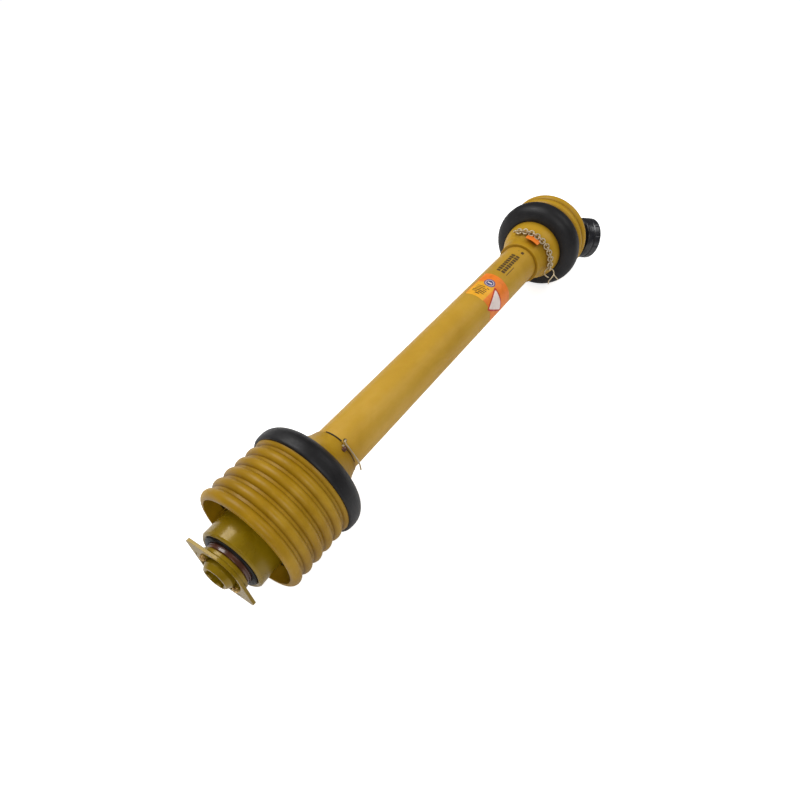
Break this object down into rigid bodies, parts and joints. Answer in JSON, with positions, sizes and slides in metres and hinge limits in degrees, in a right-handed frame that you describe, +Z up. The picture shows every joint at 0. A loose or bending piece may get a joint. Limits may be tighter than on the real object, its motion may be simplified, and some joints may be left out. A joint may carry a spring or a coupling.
{
  "type": "universal joint shaft",
  "caption": "Guarded telescopic power take-off shaft with a universal joint at each end, ribbed guard cones, a ratchet overrunning clutch and a quick-release yoke.",
  "frame": {"origin": "on the axis of the splined bore in the implement-side clutch hub, 2 mm inside its mouth", "axes": "+X along the guard tube from the implement end to the tractor end, +Z up, +Y completes a right-handed frame"},
  "size_m": [1.1426, 0.2067, 0.1926],
  "materials": {
    "guard_yellow": "matte moulded polyethylene, golden yellow",
    "guard_tube_yellow": "extruded plastic tube, golden yellow",
    "ring_black": "matte black soft plastic ring",
    "olive_paint": "glossy olive yellow paint",
    "black_paint": "glossy black paint",
    "collar_black": "black coated pull collar",
    "steel_bare": "machined steel",
    "steel_dark": "oiled spring steel",
    "brown_composite": "dark brown composite bush, greased",
    "seal_rubber": "seal rubber",
    "nylon": "natural nylon",
    "zinc_wire": "zinc plated wire"
  },
  "bodies": {
    "guard_far": {"guard_tube_outer": "guard_tube_yellow", "guard_cone_far": "guard_yellow", "guard_collar_far": "guard_yellow", "guard_ring_far": "ring_black", "guard_bearing_far": "nylon", "restraint_chain_far": "zinc_wire"},
    "chain_hook_far": {"restraint_hook_far": "zinc_wire"},
    "drive_far": {"inner_yoke_far": "steel_bare", "profile_tube_outer": "steel_bare", "spring_pin_far": "steel_dark", "cups_inner_far": "steel_bare", "snap_rings_inner_far": "steel_dark", "needles_inner_far": "steel_bare"},
    "cross_far": {"cross_far": "steel_bare", "cross_seals_far": "seal_rubber", "grease_nipple_far": "steel_bare"},
    "yoke_far": {"tractor_yoke": "black_paint", "cups_outer_far": "steel_bare", "snap_rings_outer_far": "steel_dark", "needles_outer_far": "steel_bare", "collar_spring": "steel_dark", "collar_stop_ring": "steel_dark"},
    "pull_collar": {"lock_collar": "collar_black"},
    "ball_1": {"lock_ball_1": "steel_bare"},
    "ball_2": {"lock_ball_2": "steel_bare"},
    "ball_3": {"lock_ball_3": "steel_bare"},
    "drive_near": {"inner_yoke_near": "steel_bare", "profile_tube_inner": "steel_bare", "spring_pin_near": "steel_dark", "cups_inner_near": "steel_bare", "snap_rings_inner_near": "steel_dark", "needles_inner_near": "steel_bare"},
    "guard_near": {"guard_tube_inner": "guard_tube_yellow", "guard_cone_near": "guard_yellow", "guard_collar_near": "guard_yellow", "guard_ring_near": "ring_black", "guard_bearing_near": "nylon"},
    "chain_hook_near": {"restraint_hook_near": "zinc_wire"},
    "cross_near": {"cross_near": "steel_bare", "cross_seals_near": "seal_rubber", "grease_nipple_near": "steel_bare"},
    "clutch_housing": {"clutch_housing": "olive_paint", "cups_outer_near": "steel_bare", "snap_rings_outer_near": "steel_dark", "needles_outer_near": "steel_bare", "hub_bush": "brown_composite", "clutch_seal": "seal_rubber", "retaining_ring": "steel_dark"},
    "clutch_hub": {"clutch_hub": "olive_paint", "flange_plate": "olive_paint", "plate_screws": "steel_bare", "pawl_springs": "steel_dark"},
    "pawl_1": {"pawl_1": "steel_bare"},
    "pawl_2": {"pawl_2": "steel_bare"},
    "pawl_3": {"pawl_3": "steel_bare"},
    "pawl_4": {"pawl_4": "steel_bare"}
  },
  "joints": [
    {"name": "drive_spin", "type": "hinge", "parent": "guard_far", "child": "drive_far", "pos_m": [0.13354, 0.00819, -0.00743], "axis": [1, 0, 0], "continuous": true},
    {"name": "telescope", "type": "slide", "parent": "drive_far", "child": "drive_near", "axis": [-1, 0, 0], "range_m": [0, 0.35]},
    {"name": "guard_near_spin", "type": "hinge", "parent": "drive_near", "child": "guard_near", "pos_m": [0.13354, 0.00819, -0.00743], "axis": [1, 0, 0], "continuous": true},
    {"name": "far_cross_swing", "type": "hinge", "parent": "drive_far", "child": "cross_far", "pos_m": [1.02254, 0.00819, -0.00743], "axis": [0, 0.91, 0.4147], "range_deg": [-5, 18]},
    {"name": "tractor_yoke_swing", "type": "hinge", "parent": "cross_far", "child": "yoke_far", "pos_m": [1.02254, 0.00819, -0.00743], "axis": [-0.1167, -0.4119, 0.9037], "range_deg": [-1.4, 86.6]},
    {"name": "collar_pull", "type": "slide", "parent": "yoke_far", "child": "pull_collar", "axis": [-0.7311, 0.6515, 0.2025], "range_m": [0, 0.007], "deforming": ["collar_spring"]},
    {"name": "ball_1_travel", "type": "slide", "parent": "yoke_far", "child": "ball_1", "axis": [-0.4372, -0.6752, 0.5941], "range_m": [0, 0.0021]},
    {"name": "ball_2_travel", "type": "slide", "parent": "yoke_far", "child": "ball_2", "axis": [-0.2351, 0.0381, -0.9712], "range_m": [0, 0.0021]},
    {"name": "ball_3_travel", "type": "slide", "parent": "yoke_far", "child": "ball_3", "axis": [0.6723, 0.6371, 0.3771], "range_m": [0, 0.0021]},
    {"name": "near_cross_swing", "type": "hinge", "parent": "drive_near", "child": "cross_near", "pos_m": [0.13354, 0.00819, -0.00743], "axis": [0, 0.91, 0.4147], "range_deg": [-16, 7.5]},
    {"name": "clutch_swing", "type": "hinge", "parent": "cross_near", "child": "clutch_housing", "pos_m": [0.13354, 0.00819, -0.00743], "axis": [0.0758, -0.4135, 0.9073], "range_deg": [-13.5, 10]},
    {"name": "hub_spin", "type": "hinge", "parent": "clutch_housing", "child": "clutch_hub", "pos_m": [0.13354, 0.00819, -0.00743], "axis": [-0.9966, -0.0611, 0.0555], "continuous": true},
    {"name": "pawl_1_travel", "type": "slide", "parent": "clutch_hub", "child": "pawl_1", "axis": [0.0758, -0.4135, 0.9073], "range_m": [0, 0.004], "deforming": ["pawl_springs"]},
    {"name": "pawl_2_travel", "type": "slide", "parent": "clutch_hub", "child": "pawl_2", "axis": [0.0325, -0.9085, -0.4167], "range_m": [0, 0.004]},
    {"name": "pawl_3_travel", "type": "slide", "parent": "clutch_hub", "child": "pawl_3", "axis": [-0.0758, 0.4135, -0.9073], "range_m": [0, 0.004]},
    {"name": "pawl_4_travel", "type": "slide", "parent": "clutch_hub", "child": "pawl_4", "axis": [-0.0325, 0.9085, 0.4167], "range_m": [0, 0.004]},
    {"name": "hook_near_swing", "type": "hinge", "parent": "guard_near", "child": "chain_hook_near", "pos_m": [0.25154, -0.01343, 0.03158], "axis": [0, -0.4848, 0.8746], "range_deg": [-5, 5]},
    {"name": "hook_far_swing", "type": "hinge", "parent": "guard_far", "child": "chain_hook_far", "pos_m": [0.91054, -0.052, -0.01376], "axis": [0.5511, 0.3874, -0.739], "range_deg": [-10, 10]}
  ],
  "couplings": [
    {"joint": "ball_1_travel", "follows": "collar_pull", "ratio": 0.3},
    {"joint": "ball_2_travel", "follows": "collar_pull", "ratio": 0.3},
    {"joint": "ball_3_travel", "follows": "collar_pull", "ratio": 0.3},
    {"joint": "pawl_2_travel", "follows": "pawl_1_travel", "ratio": 1},
    {"joint": "pawl_3_travel", "follows": "pawl_1_travel", "ratio": 1},
    {"joint": "pawl_4_travel", "follows": "pawl_1_travel", "ratio": 1}
  ]
}
